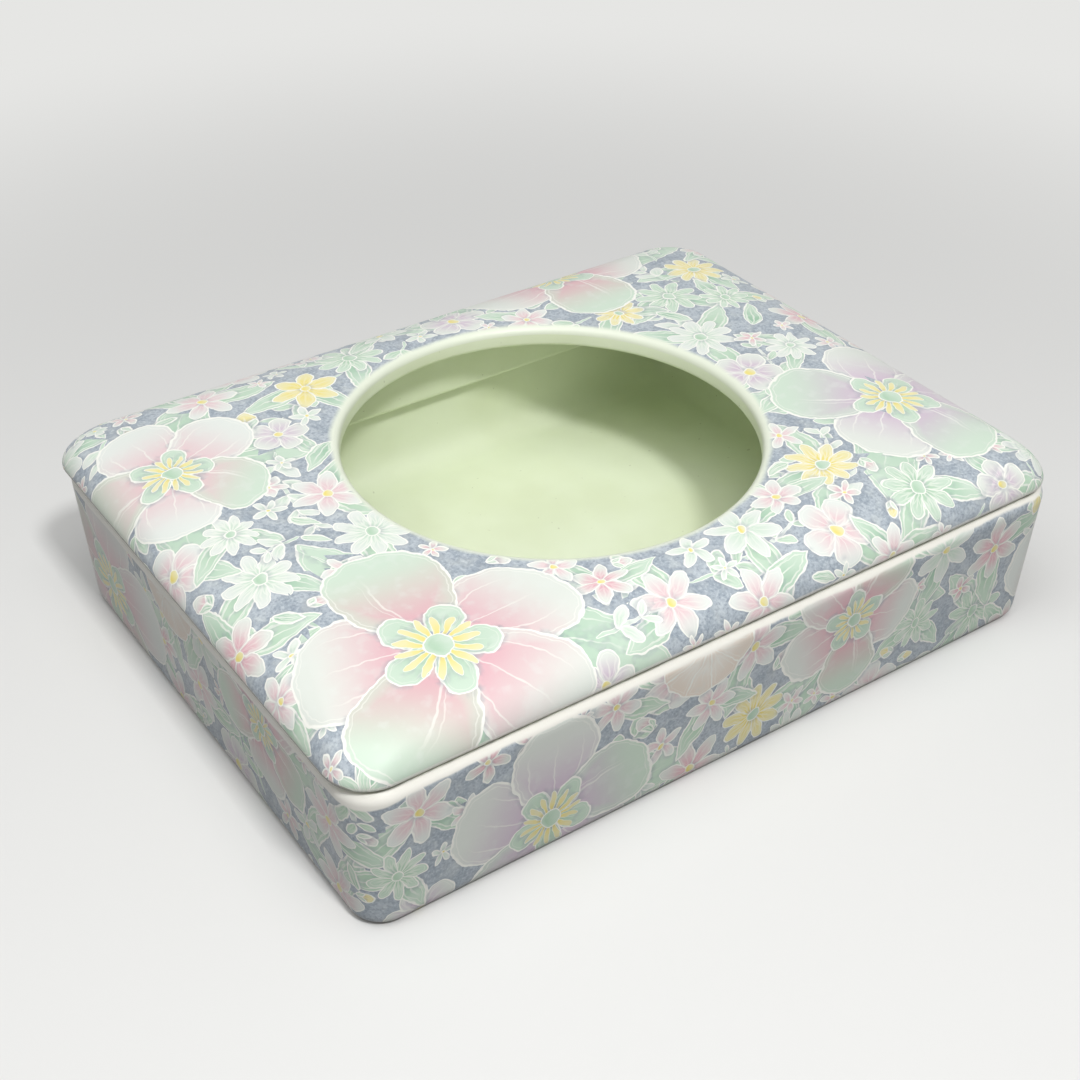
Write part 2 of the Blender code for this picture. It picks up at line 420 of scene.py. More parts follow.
def leafy_spray(sheet, x, y, turn, length, ink="mint", bend=0.0):
    """A curved stalk with pairs of round-ended leaves, which grow smaller towards its tip."""
    sheet.stroke(x, y, turn, length, 0.42, INKS["white"], point=3.0, bend=bend, line=0.16)
    pairs = max(2, int(length / 4.6))
    for pair in range(1, pairs + 1):
        along = length * pair / (pairs + 0.4)
        place = beside(x, y, turn, along, bend * along * along)
        heading = turn + math.degrees(math.atan(2 * bend * along))
        size = 6.0 * (1 - 0.45 * pair / pairs)
        for side in (-1, 1):
            sheet.stroke(*place, heading + side * 44, size, size * 0.25, INKS[ink],
                         point=1.6, swell=1.15, line=0.32, veins=0.5)


def great_blossom(sheet, x, y, radius, turn, ink):
    """A large open blossom of five broad petals, with smaller petals and stamens in the middle."""
    base, tip = INKS[ink]
    for petal in (0, 2, 4, 1, 3):
        length = radius * (1 + 0.07 * math.sin(petal * 2.1))
        inks = (base, TIP_GREEN if petal % 2 else tip)
        sheet.stroke(x, y, turn + petal * 72, length, radius * 0.42, inks, swell=1.6, point=2.1,
                     bend=0.006 * (petal % 3 - 1), line=0.5, veins=0.75, fold=float(petal % 2))
    for petal in range(5):
        sheet.stroke(x, y, turn + 36 + petal * 72, radius * 0.42, radius * 0.13, INKS["mint"],
                     swell=1.5, line=0.4, veins=0.5)
    sheet.stroke(x, y, turn, radius * 0.29, radius * 0.028, INKS["lemon"], petals=14, swell=2.2, line=0.12)
    sheet.disc(x, y, radius * 0.1, INKS["mint"], line=0.3)


def star_flower(sheet, x, y, radius, turn, ink, petals=6):
    """A middle-sized flower of pointed petals."""
    sheet.stroke(x, y, turn, radius, radius * 0.25, INKS[ink], petals=petals, swell=1.15, point=1.6,
                 line=0.32, veins=0.4)
    sheet.disc(x, y, radius * 0.14, INKS["lemon"])


def primrose(sheet, x, y, radius, turn, ink):
    """A middle-sized flower of five round petals with an eye."""
    sheet.stroke(x, y, turn, radius, radius * 0.4, INKS[ink], petals=5, swell=1.7, line=0.34, veins=0.6)
    sheet.disc(x, y, radius * 0.18, INKS["lemon"])


def wheel_flower(sheet, x, y, radius, turn, ink):
    """A middle-sized flower of nine slim petals round a disc."""
    sheet.stroke(x, y, turn, radius, radius * 0.2, INKS[ink], petals=9, swell=1.35, line=0.3, veins=0.7)
    sheet.disc(x, y, radius * 0.2, INKS["mint"], line=0.3)


def small_cluster(sheet, x, y, spread, count, ink):
    """Tiny five-petalled flowers set close together, with small leaves between them."""
    turn = sheet.chance.uniform(0, 360)
    for number in range(count):
        angle = turn + number * 137.5
        place = beside(x, y, angle, spread * math.sqrt((number + 0.4) / count))
        leaf(sheet, *place, angle, 4.2, "mint", slim=0.22)
        sheet.stroke(*place, angle, 2.2, 0.85, INKS[ink], petals=5, swell=1.4, line=0.24)
        sheet.disc(*place, 0.42, INKS["lemon"], line=0.1)


def bud(sheet, x, y, turn, size, ink):
    """A closed bud in its two sepals."""
    sheet.stroke(x, y, turn, size, size * 0.3, INKS[ink], swell=1.0, point=1.8, line=0.36, veins=0.7)
    for side in (-1, 1):
        leaf(sheet, x, y, turn + side * 24, size * 0.62, "sage", slim=0.24)


def middle_flower(sheet, x, y, size, turn):
    """One of the flowers that stand between the great blossoms, over its two leaves."""
    chance = sheet.chance
    leaf(sheet, x, y, turn + 110, size * 2.1, "mint", bend=0.015)
    leaf(sheet, x, y, turn + 235, size * 1.9, "sage", bend=-0.015)
    draw, inks = chance.choice((
        (star_flower, ("rose", "blush", "white")), (star_flower, ("rose", "lemon", "blush")),
        (primrose, ("blush", "lilac")), (wheel_flower, ("white", "mint", "lemon"))))
    draw(sheet, x, y, size, turn, chance.choice(inks))


def small_filling(sheet, x, y, size, turn):
    """A little flower, a bud, a leaf or a spray."""
    chance = sheet.chance
    back = beside(x, y, turn, -size)
    draw = chance.choice(("cluster", "star", "spray", "leaf", "bud", "star"))
    if draw == "cluster" and size > 4:
        small_cluster(sheet, x, y, size * 0.8, 6, chance.choice(("blush", "white", "rose")))
    elif draw == "spray" and size > 3:
        leafy_spray(sheet, *back, turn, size * 2.3, chance.choice(("mint", "white")), 0.02)
    elif draw == "bud":
        bud(sheet, *back, turn, size * 1.5, chance.choice(("lemon", "rose")))
    elif draw == "leaf":
        leaf(sheet, *back, turn, size * 2.2, chance.choice(("mint", "sage")), bend=0.02)
    else:
        star_flower(sheet, x, y, size * 0.95, turn, chance.choice(("white", "rose", "blush")), petals=5)


# The rounds that fill the gaps: a motif's radius, the share of it that stays clear, and what draws it
GAP_ROUNDS = ((6.6, 1.0, middle_flower), (5.2, 0.9, middle_flower), (4.4, 0.86, small_filling),
              (3.3, 0.84, small_filling), (2.5, 0.84, small_filling))


def fill_gaps(sheet, x_range, y_range, tries, is_inside):
    """Fills what the great blossoms leave, with ever smaller motifs, down to the ground that stays bare."""
    for size, room, draw in GAP_ROUNDS:
        for attempt in range(tries):
            x = sheet.chance.uniform(*x_range)
            y = sheet.chance.uniform(*y_range)
            if is_inside(x, y, size) and sheet.is_free(x, y, size, room):
                sheet.take(x, y, size)
                draw(sheet, x, y, size, sheet.chance.uniform(0, 360))


def lid_sheet():
    """The lid's print: great blossoms round the opening, with sprays and smaller flowers between them."""
    sheet = Sheet(PRINT_SEED)
    blossoms = [(-47.0, -39.0, 24.0, 15, "rose"), (57.0, -25.0, 21.0, 70, "lilac"),
                (35.0, 51.0, 21.0, 200, "rose"), (-60.0, 25.0, 18.0, 100, "blush")]
    for x, y, radius, turn, ink in blossoms:
        sheet.take(x, y, radius * 0.94)
        for side in (-1, 1):
            heading = turn + 90 * side + 16
            leafy_spray(sheet, x, y, heading, radius * 1.6, "mint", 0.01 * side)
            leaf(sheet, x, y, heading + 40, radius * 1.55, "sage", bend=0.006 * side)
            leaf(sheet, x, y, heading - 34, radius * 1.4, "mint", bend=0.006 * side)
    lip = OPENING_RADIUS * MM
    for number in range(10):
        angle = 36 * number + 10
        step = number % 3
        place = beside(0, 0, angle, lip + 6 + 5 * step)
        leafy_spray(sheet, *place, angle + 75 + 14 * step, 24, ("white", "mint")[number % 2], 0.012)
    half_length, half_width = 74, 57

    def is_off_the_lip(x, y, size):
        return math.hypot(x, y) > lip + size * 0.5

    fill_gaps(sheet, (-half_length, half_length), (-half_width, half_width), 700, is_off_the_lip)
    for blossom in blossoms:
        great_blossom(sheet, *blossom)
    return sheet


def wall_sheet(around):
    """The print round the base's walls, which meets itself after the distance around."""
    sheet = Sheet(PRINT_SEED + 1)
    spacing = around / WALL_BLOSSOMS
    blossoms = []
    for number in range(WALL_BLOSSOMS):
        radius = (19.0, 14.0, 21.0, 15.0)[(number * 3) % 4]
        y = (7.0, 19.0, 10.0, 21.0)[number % 4]
        blossoms.append((spacing * (number + 0.62), y, radius, 40.0 * number,
                         ("lilac", "rose", "blush", "rose")[number % 4]))
    for x, y, radius, turn, ink in blossoms:
        sheet.take(x, y, radius * 0.9)
        leafy_spray(sheet, x, y, 8 + turn * 0.1, radius * 1.7, "mint", 0.008)
        leafy_spray(sheet, x, y, 172 - turn * 0.1, radius * 1.6, "sage", -0.008)
        leaf(sheet, x, y, 30 - turn * 0.2, radius * 1.5, "mint")
        leaf(sheet, x, y, 200 + turn * 0.2, radius * 1.5, "sage")
    fill_gaps(sheet, (0, around), (-1, BASE_HEIGHT * MM - 2), 900, lambda x, y, size: True)
    for blossom in blossoms:
        great_blossom(sheet, *blossom)
    for number in range(0, WALL_BLOSSOMS, 2):
        place = (spacing * (number + 1.1), BASE_HEIGHT * MM - 0.5)
        sheet.stroke(*place, 20, 9.0, 3.6, INKS["rim"], petals=9, swell=2.2, line=0.4, veins=0.6)
    return sheet


def lid_print_places(rings, print_rings):
    """Where each ring point lies on the lid's sheet: its plan, let out by what bends down over the edge."""
    start, end = print_rings
    centre = np.array((LID_CENTRE.x, LID_CENTRE.y))
    places = np.zeros((len(rings), len(MARKS), 2))
    let_out = np.zeros(len(MARKS))
    for number in range(end - 1, start - 1, -1):
        if number < end - 1:
            step = rings[number] - rings[number + 1]
            let_out += np.linalg.norm(step, axis=1) - np.linalg.norm(step[:, :2], axis=1)
        bends_down = rings[number][:, 2] < rings[end - 1 - ROUNDING_STEPS][:, 2] - MERGE_DISTANCE
        outward = MARKS[:, 2:4] * (let_out * bends_down * (number < end - ROUNDING_STEPS))[:, None]
        places[number] = (rings[number][:, :2] - centre + outward) * MM
    return places


def wall_print_places(rings):
    """Where each ring point lies on the wall's sheet: the distance round the rim, and the height."""
    rim = outer_ring(0.0, BASE_HEIGHT)
    steps = np.linalg.norm(np.roll(rim, -1, axis=0) - rim, axis=1)
    along = np.concatenate(([0.0], np.cumsum(steps)[:-1]))
    places = np.zeros((len(rings), len(MARKS), 2))
    for number, ring in enumerate(rings):
        places[number, :, 0] = along * MM
        places[number, :, 1] = ring[:, 2] * MM
    return places, float(steps.sum()) * MM


def stroke_depths(stroke, x, y):
    """Each place on the stroke's own axes, and roughly how deep it lies inside it, in millimetres."""
    length, half_width, swell = stroke["form"]
    point, bend, _ = stroke["finish"]
    cosine, sine = math.cos(stroke["turn"]), math.sin(stroke["turn"])
    own_x = x * cosine + y * sine
    own_y = y * cosine - x * sine
    away = np.hypot(own_x, own_y)
    if stroke["petals"] > 1:
        sector = 2 * math.pi / stroke["petals"]
        angle = np.arctan2(own_y, own_x)
        angle -= np.round(angle / sector) * sector
        along, across = away * np.cos(angle), away * np.sin(angle)
    else:
        along, across = own_x, own_y
    across = across - bend * along * along
    share = along / length
    warped = np.maximum(share, 0) ** swell
    level = 4 * warped * (1 - warped) + 4 * np.minimum(share, 0)
    rise = 4 * (1 - 2 * warped) * swell * np.maximum(share, NEARLY_ZERO) ** (swell - 1) / length
    side = np.maximum(np.abs(across) / half_width, NEARLY_ZERO)
    fall = point * side ** (point - 1) / half_width
    depth = (level - side ** point) / np.maximum(np.hypot(rise, fall), NEARLY_ZERO)
    return own_x, own_y, depth


def read_numbers(items, name):
    """One whole number of each item, such as how many sides each face has."""
    numbers = np.zeros(len(items), dtype=np.int32)
    items.foreach_get(name, numbers)
    return numbers


def printed_faces(mesh, places, print_rings, around):
    """The faces with four corners that take print, their corners, and where these lie on the sheet."""
    ring = read_numbers(mesh.attributes["ring"].data, "value")
    mark = read_numbers(mesh.attributes["mark"].data, "value")
    corner_point = read_numbers(mesh.loops, "vertex_index")
    first = read_numbers(mesh.polygons, "loop_start")
    sides = read_numbers(mesh.polygons, "loop_total")
    lowest = np.array([ring[corner_point[start:start + 4]].min() for start in first])
    highest = np.array([ring[corner_point[start:start + 4]].max() for start in first])
    start_ring, end_ring = print_rings
    faces = np.nonzero((sides == 4) & (lowest >= start_ring) & (highest < end_ring))[0]
    corners = first[faces][:, None] + np.arange(4)
    points = corner_point[corners]
    sheet_x = places[ring[points], mark[points], 0]
    sheet_y = places[ring[points], mark[points], 1]
    if around:
        crosses = (sheet_x.max(axis=1) - sheet_x.min(axis=1)) > around / 2
        sheet_x[crosses[:, None] & (sheet_x < around / 2)] += around
    return faces, corners, sheet_x, sheet_y


def print_sheet(piece, strokes, places, print_rings, around=None):
    """Gives each printed face the strokes that lie on it, the top one first, placed at its corners."""
    mesh = piece.data
    faces, corners, sheet_x, sheet_y = printed_faces(mesh, places, print_rings, around)
    middle_x, middle_y = sheet_x.mean(axis=1), sheet_y.mean(axis=1)
    used = np.zeros(len(faces), dtype=np.int32)
    sealed = np.zeros(len(faces), dtype=bool)
    place = np.full((INK_LAYERS, len(mesh.loops), 3), NO_STROKE, dtype=np.float32)
    flat = {name: np.zeros((INK_LAYERS, len(mesh.polygons), width), dtype=np.float32)
            for name, width in (("form", 3), ("finish", 3), ("inner", 4), ("outer", 4))}
    flat["form"][:] = (1.0, 1.0, 1.0)
    flat["finish"][:] = (2.0, 0.0, 0.0)
    for stroke in reversed(strokes):
        reach = max(stroke["form"][0], stroke["form"][1]) + STROKE_MARGIN
        shift = around * np.round((middle_x - stroke["x"]) / around) if around else 0.0
        near = np.hypot(middle_x - shift - stroke["x"], middle_y - stroke["y"]) < reach + STROKE_MARGIN
        chosen = np.nonzero(near & ~sealed & (used < INK_LAYERS))[0]
        if not len(chosen):
            continue
        x = sheet_x[chosen] - stroke["x"] - (shift[chosen][:, None] if around else 0.0)
        y = sheet_y[chosen] - stroke["y"]
        own_x, own_y, depth = stroke_depths(stroke, x, y)
        touched = depth.max(axis=1) > -STROKE_MARGIN
        chosen, own_x, own_y, depth = chosen[touched], own_x[touched], own_y[touched], depth[touched]
        slots = used[chosen]
        face_numbers = faces[chosen]
        place[slots[:, None], corners[chosen], 0] = own_x
        place[slots[:, None], corners[chosen], 1] = own_y
        place[slots[:, None], corners[chosen], 2] = stroke["petals"]
        for name in flat:
            flat[name][slots, face_numbers] = stroke[name]
        used[chosen] += 1
        sealed[chosen] |= depth.min(axis=1) > STROKE_MARGIN
    store_layers(mesh, place, flat)


def store_layers(mesh, place, flat):
    """Keeps each layer of strokes in the mesh's attributes, which the printed glazes read."""
    for layer in range(INK_LAYERS):
        attribute = mesh.attributes.new(f"place_{layer}", "FLOAT_VECTOR", "CORNER")
        attribute.data.foreach_set("vector", place[layer].ravel())
        for name, values in flat.items():
            is_colour = name in ("inner", "outer")
            kind = "FLOAT_COLOR" if is_colour else "FLOAT_VECTOR"
            attribute = mesh.attributes.new(f"{name}_{layer}", kind, "FACE")
            attribute.data.foreach_set("color" if is_colour else "vector", values[layer].ravel())


# Materials

class Graph:
    """Adds nodes to a material's or a group's tree."""

    def __init__(self, tree):
        self.tree = tree

    def join(self, value, socket):
        """Links an output to an input, or sets the input's own value."""
        if isinstance(value, bpy.types.NodeSocket):
            self.tree.links.new(value, socket)
        else:
            socket.default_value = value

    def node(self, kind, inputs=None, **settings):
        made = self.tree.nodes.new(kind)
        for name, value in settings.items():
            setattr(made, name, value)
        for name, value in (inputs or {}).items():
            self.join(value, made.inputs[name])
        return made

    def calc(self, operation, *values):
        """A Math node's result."""
        return self.node("ShaderNodeMath", dict(enumerate(values)), operation=operation).outputs[0]

    plus = partialmethod(calc, "ADD")
    minus = partialmethod(calc, "SUBTRACT")
    times = partialmethod(calc, "MULTIPLY")
    over = partialmethod(calc, "DIVIDE")

    def vector(self, operation, *values):
        """A Vector Math node's result, which is a plain number for a length."""
        made = self.node("ShaderNodeVectorMath", dict(enumerate(values)), operation=operation)
        return made.outputs["Value" if operation == "LENGTH" else "Vector"]

    def apart(self, vector):
        """A vector's X, Y and Z."""
        return self.node("ShaderNodeSeparateXYZ", {"Vector": vector}).outputs

    def fade(self, value, start, end, low=0.0, high=1.0, smooth=True):
        """The value read on a smooth or straight ramp, from low at the start to high at the end."""
        made = self.node("ShaderNodeMapRange", {"Value": value, "From Min": start, "From Max": end,
                                                "To Min": low, "To Max": high},
                         interpolation_type="SMOOTHSTEP" if smooth else "LINEAR")
        return made.outputs["Result"]

    def blend(self, share, first, second):
        """Two colours mixed by a share."""
        made = self.node("ShaderNodeMix", data_type="RGBA")
        self.join(share, made.inputs["Factor"])
        self.join(first, made.inputs[6])
        self.join(second, made.inputs[7])
        return made.outputs[2]

    def noise(self, place, scale, detail=2.0, roughness=0.5):
        """A noise texture's value, with its scale counted per metre."""
        made = self.node("ShaderNodeTexNoise", {"Vector": place, "Scale": scale, "Detail": detail,
                                                "Roughness": roughness})
        return made.outputs["Fac"]

    def group(self, tree, inputs):
        made = self.node("ShaderNodeGroup", node_tree=tree)
        for name, value in inputs.items():
            self.join(value, made.inputs[name])
        return made.outputs


def new_group(name, inputs, outputs):
    """An empty node group with its sockets, and its input and output nodes."""
    tree = bpy.data.node_groups.new(name, "ShaderNodeTree")
    for socket, kind in inputs:
        tree.interface.new_socket(name=socket, in_out="INPUT", socket_type="NodeSocket" + kind)
    for socket, kind in outputs:
        tree.interface.new_socket(name=socket, in_out="OUTPUT", socket_type="NodeSocket" + kind)
    graph = Graph(tree)
    return graph, graph.node("NodeGroupInput").outputs, graph.node("NodeGroupOutput").inputs


def ink_stroke_group():
    """Draws one stroke: its fill, its white outline, its veins and the shade that it throws."""
    graph, given, result = new_group(
        "ink_stroke",
        [("Place", "Vector"), ("Form", "Vector"), ("Finish", "Vector"),
         ("Inner", "Color"), ("Outer", "Color"), ("Line", "Float"), ("Veins", "Float")],
        [("Colour", "Color"), ("Cover", "Float"), ("Shade", "Float")])
    calc, plus, minus, times, over = graph.calc, graph.plus, graph.minus, graph.times, graph.over
    x, y, petals = graph.apart(given["Place"])
    length, half_width, swell = graph.apart(given["Form"])
    point, bend, fold = graph.apart(given["Finish"])

    # The place on the axes of the nearest petal, which may bend
    away = calc("SQRT", plus(times(x, x), times(y, y)))
    sector = over(2 * math.pi, petals)
    angle = calc("ARCTAN2", y, x)
    petal_angle = times(calc("ROUND", over(angle, sector)), sector)
    own_angle = minus(angle, petal_angle)
    along = times(away, calc("COSINE", own_angle))
    across = times(away, calc("SINE", own_angle))
    across = minus(across, times(bend, times(along, along)))

    # The depth inside the petal's outline, in millimetres
    share = over(along, length)
    warped = calc("POWER", calc("MAXIMUM", share, 0.0), swell)
    level = times(times(warped, 4.0), minus(1.0, warped))
    level = plus(level, times(calc("MINIMUM", share, 0.0), 4.0))
    rise = times(minus(1.0, times(warped, 2.0)), 4.0)
    warping = calc("POWER", calc("MAXIMUM", share, NEARLY_ZERO), minus(swell, 1.0))
    rise = times(rise, times(swell, warping))
    rise = over(rise, length)
    side = calc("MAXIMUM", over(calc("ABSOLUTE", across), half_width), NEARLY_ZERO)
    fall = times(point, calc("POWER", side, minus(point, 1.0)))
    fall = over(fall, half_width)
    slope = calc("SQRT", plus(times(rise, rise), times(fall, fall)))
    depth = minus(level, calc("POWER", side, point))
    depth = over(depth, calc("MAXIMUM", slope, NEARLY_ZERO))

    # The white outline, also between two petals, and a fine line inside it
    half_sector = minus(over(sector, 2.0), calc("ABSOLUTE", own_angle))
    to_next_petal = times(away, calc("SINE", half_sector))
    is_single = calc("LESS_THAN", petals, 1.5)
    to_next_petal = plus(to_next_petal, times(is_single, 100.0))
    edge = calc("MINIMUM", depth, plus(to_next_petal, times(given["Line"], 0.5)))
    line = graph.fade(edge, times(given["Line"], 0.55), given["Line"], 1.0, 0.0)
    inner_line_gap = 0.5
    inner_edge = calc("ABSOLUTE", minus(edge, plus(given["Line"], inner_line_gap)))
    inner_line = times(graph.fade(inner_edge, 0.04, 0.16, 0.6, 0.0), given["Veins"])
    line = calc("MAXIMUM", line, inner_line)

    # The fill, which goes over into the outer colour towards the tip and the edge
    towards_tip = graph.fade(share, 0.12, 0.92)
    by_edge = graph.fade(depth, 0.2, times(half_width, 0.75), 0.75, 0.0)
    colour = graph.blend(calc("MAXIMUM", towards_tip, by_edge), given["Inner"], given["Outer"])

    # The veins, or in a folded petal two lines to one side of its middle
    room = times(half_width, calc("SQRT", calc("MAXIMUM", level, 0.04)))
    fan = over(across, room)
    veins_to_a_side = 1.6
    vein_number = times(fan, veins_to_a_side)
    nearest = minus(calc("FRACT", plus(vein_number, 0.5)), 0.5)
    vein_distance = over(times(calc("ABSOLUTE", nearest), room), veins_to_a_side)
    vein = graph.fade(vein_distance, 0.07, 0.2, 1.0, 0.0)
    fold_distance = times(calc("ABSOLUTE", minus(fan, 0.26)), room)
    fold_line = graph.fade(fold_distance, 0.12, 0.3, 1.0, 0.0)
    second_distance = times(calc("ABSOLUTE", minus(fan, 0.37)), room)
    fold_line = calc("MAXIMUM", fold_line, graph.fade(second_distance, 0.04, 0.16, 0.7, 0.0))
    vein = times(vein, minus(1.0, fold))
    vein = plus(vein, times(fold_line, fold))
    vein = times(vein, graph.fade(share, 0.5, 0.84, 1.0, 0.0))
    vein = times(vein, given["Veins"])

    white = calc("MAXIMUM", line, times(vein, 0.7))
    graph.join(graph.blend(white, colour, LINE_CREAM), result["Colour"])
    graph.join(graph.fade(depth, -0.05, 0.05), result["Cover"])
    graph.join(graph.fade(depth, -0.9, 0.0), result["Shade"])
    return graph.tree


def speckled_ground_group():
    """The mottled, finely speckled slate blue between the flowers."""
    graph, given, result = new_group("speckled_ground", [("Place", "Vector")], [("Colour", "Color")])
    clouds = graph.noise(given["Place"], 300, 4.0, 0.6)
    specks = graph.noise(given["Place"], 2000, 2.0, 0.6)
    colour = graph.blend(graph.fade(clouds, 0.36, 0.64), GROUND, GROUND_DARK)
    colour = graph.blend(graph.fade(specks, 0.5, 0.68, 0.0, 0.7), colour, GROUND_SPECK)
    colour = graph.blend(graph.fade(specks, 0.48, 0.34, 0.0, 0.6), colour, GROUND_SHADE)
    graph.join(colour, result["Colour"])
    return graph.tree


def glaze_surface_group():
    """The satin glaze's roughness and height: slow waves, and fine pitting."""
    graph, given, result = new_group("glaze_surface", [("Place", "Vector")],
                                     [("Roughness", "Float"), ("Height", "Float")])
    waves = graph.noise(given["Place"], 90, 2.0)
    pits = graph.noise(given["Place"], 1500, 2.0)
    graph.join(graph.fade(waves, 0.3, 0.7, 0.36, 0.48), result["Roughness"])
    height = graph.plus(graph.times(waves, 0.6), graph.times(pits, 0.12))
    graph.join(height, result["Height"])
    return graph.tree


def new_material(name):
    """A material with a plain Principled BSDF, and its graph."""
    material = bpy.data.materials.new(name)
    material.use_nodes = True
    graph = Graph(material.node_tree)
    shader = material.node_tree.nodes["Principled BSDF"]
    shader.inputs["IOR"].default_value = 1.5
    return material, graph, shader


def finish_glaze(graph, shader, colour, place, surface):
    """Feeds a glaze's colour, roughness and height to its shader."""
    glaze = graph.group(surface, {"Place": place})
    bump = graph.node("ShaderNodeBump", {"Height": glaze["Height"], "Strength": 0.35, "Distance": 0.0001})
    graph.join(colour, shader.inputs["Base Color"])
    graph.join(glaze["Roughness"], shader.inputs["Roughness"])
    graph.join(bump.outputs["Normal"], shader.inputs["Normal"])


def printed_colour(graph, place, stroke, ground):
    """The ground with the layers of strokes over it, mottled as a transfer print under glaze is."""
    colour = graph.group(ground, {"Place": place})["Colour"]
    texture = graph.node("ShaderNodeTexNoise", {"Vector": place, "Scale": 300.0, "Detail": 2.0})
    wobble = graph.vector("SUBTRACT", texture.outputs["Color"], (0.5, 0.5, 0.5))
    wobble = graph.vector("MULTIPLY", wobble, (INK_WOBBLE, INK_WOBBLE, 0.0))
    patchy = graph.noise(place, 420, 2.0)
    pressure = graph.fade(patchy, 0.35, 0.65, 0.75, 1.35)
    shading = graph.fade(patchy, 0.42, 0.62, 0.0, 0.4)
    for layer in reversed(range(INK_LAYERS)):
        read = {name: graph.node("ShaderNodeAttribute", attribute_name=f"{name}_{layer}").outputs
                for name in ("place", "form", "finish", "inner", "outer")}
        moved = graph.vector("ADD", read["place"]["Vector"], wobble)
        line = graph.times(read["inner"]["Alpha"], pressure)
        ink = graph.group(stroke, {
            "Place": moved, "Form": read["form"]["Vector"], "Finish": read["finish"]["Vector"],
            "Inner": read["inner"]["Color"], "Outer": read["outer"]["Color"],
            "Line": line, "Veins": read["outer"]["Alpha"]})
        colour = graph.blend(graph.times(ink["Shade"], shading), colour, GROUND_SHADE)
        colour = graph.blend(ink["Cover"], colour, ink["Colour"])
    return graph.blend(graph.fade(patchy, 0.5, 0.72, 0.0, 0.25), colour, WHITE)


def object_place(graph):
    return graph.node("ShaderNodeTexCoord").outputs["Object"]


def printed_wall_material(stroke, ground, surface):
    """The base's outside: print up to a bare cream rim, a line of dirt and painted seam shade, and bare
    clay at the foot.
    """
    material, graph, shader = new_material("printed_wall_glaze")
    place = object_place(graph)
    along, _, height = graph.apart(place)
    colour = printed_colour(graph, place, stroke, ground)
    uneven = graph.times(graph.noise(place, 130), BAND_WAVE)
    left_end = -LENGTH / 2
    front_start = left_end + FRONT_BAND_START
    front_band = graph.fade(along, front_start, LENGTH / 2, FRONT_BAND, RIGHT_BAND, smooth=False)
    band = graph.fade(along, left_end + LEFT_BAND_END, front_start, LEFT_BAND, front_band)
    below_rim = graph.minus(BASE_HEIGHT, graph.plus(height, uneven))
    rim = graph.fade(graph.minus(below_rim, band), -0.0002, -0.0007)
    colour = graph.blend(rim, colour, RIM_CREAM)
    # A brown line just below the rim's top: partly dirt where the lid rests, partly painted shade of the
    # gap under the lid
    depth = graph.minus(BASE_HEIGHT, height)
    dirt_and_shade = graph.fade(depth, 0.00005, 0.0002)
    dirt_and_shade = graph.times(dirt_and_shade, graph.fade(depth, RIM_DIRT_AND_SHADE_DEPTH, 0.00025))
    patches = graph.fade(graph.noise(place, 200, 3.0, 0.6), 0.35, 0.6, 0.2, 0.5)
    colour = graph.blend(graph.times(dirt_and_shade, patches), colour, SEAM_DIRT_AND_SHADE)
    stains = graph.fade(graph.noise(place, 320, 3.0, 0.6), 0.6, 0.7)
    clay = graph.blend(stains, CLAY, CLAY_STAIN)
    uneven_height = graph.plus(height, graph.times(uneven, 0.4))
    foot = graph.fade(uneven_height, WALL_PRINT_START, CLAY_TOP)
    colour = graph.blend(foot, colour, clay)
    finish_glaze(graph, shader, colour, place, surface)
    return material


def printed_lid_material(stroke, ground, surface):
    """The lid's outside: print from a pale edge, darkened at its foot by dirt and painted shade, up to the
    lip, where it fades into the pale green.
    """
    material, graph, shader = new_material("printed_lid_glaze")
    place = object_place(graph)
    along, _, height = graph.apart(place)
    colour = printed_colour(graph, place, stroke, ground)
    centred = graph.vector("SUBTRACT", place, (LID_CENTRE.x, LID_CENTRE.y, 0.0))
    radius = graph.vector("LENGTH", graph.vector("MULTIPLY", centred, (1.0, 1.0, 0.0)))
    uneven = graph.times(graph.noise(place, 120), LIP_WAVE)
    lip_radius = OPENING_RADIUS + LIP_ROUNDING
    lip = graph.fade(graph.plus(radius, uneven), lip_radius + LIP_PRINT_GAP, lip_radius - 0.0001)
    colour = graph.blend(lip, colour, LIP_CREAM)
    above_edge = graph.minus(height, BASE_HEIGHT + SEAT_GAP)
    pale_edge = graph.fade(above_edge, LID_PRINT_START, LID_EDGE_ROUNDING, 0.0, 0.6)
    colour = graph.blend(pale_edge, colour, RIM_CREAM)
    # The lid's lowest edge darkened: partly dirt, partly painted shade of the seam; at the left end it
    # reaches higher, painting the shadow under the overhang
    on_left = graph.fade(along, LID_LOW.x + LEFT_DIRT_AND_SHADE_START, LID_LOW.x + LEFT_DIRT_AND_SHADE_FULL)
    dirt_and_shade_top = graph.fade(on_left, 0.0, 1.0, FRONT_DIRT_AND_SHADE_TOP, LEFT_DIRT_AND_SHADE_TOP)
    dirt_and_shade = graph.fade(graph.minus(above_edge, dirt_and_shade_top), 0.0, -0.0002, 0.0, 0.6)
    colour = graph.blend(dirt_and_shade, colour, SEAM_DIRT_AND_SHADE)
    finish_glaze(graph, shader, colour, place, surface)
    return material


def green_glaze_material(surface):
    """The plain pale green glaze inside, with slow changes of depth and a few dark pinholes."""
    material, graph, shader = new_material("pale_green_glaze")
    place = object_place(graph)
    depth = graph.fade(graph.noise(place, 45, 3.0), 0.35, 0.7)
    colour = graph.blend(depth, GREEN_GLAZE, GREEN_GLAZE_DEEP)
    specks = graph.fade(graph.noise(place, 900, 1.0), 0.77, 0.8)
    colour = graph.blend(graph.times(specks, 0.25), colour, PINHOLE)
    finish_glaze(graph, shader, colour, place, surface)
    return material


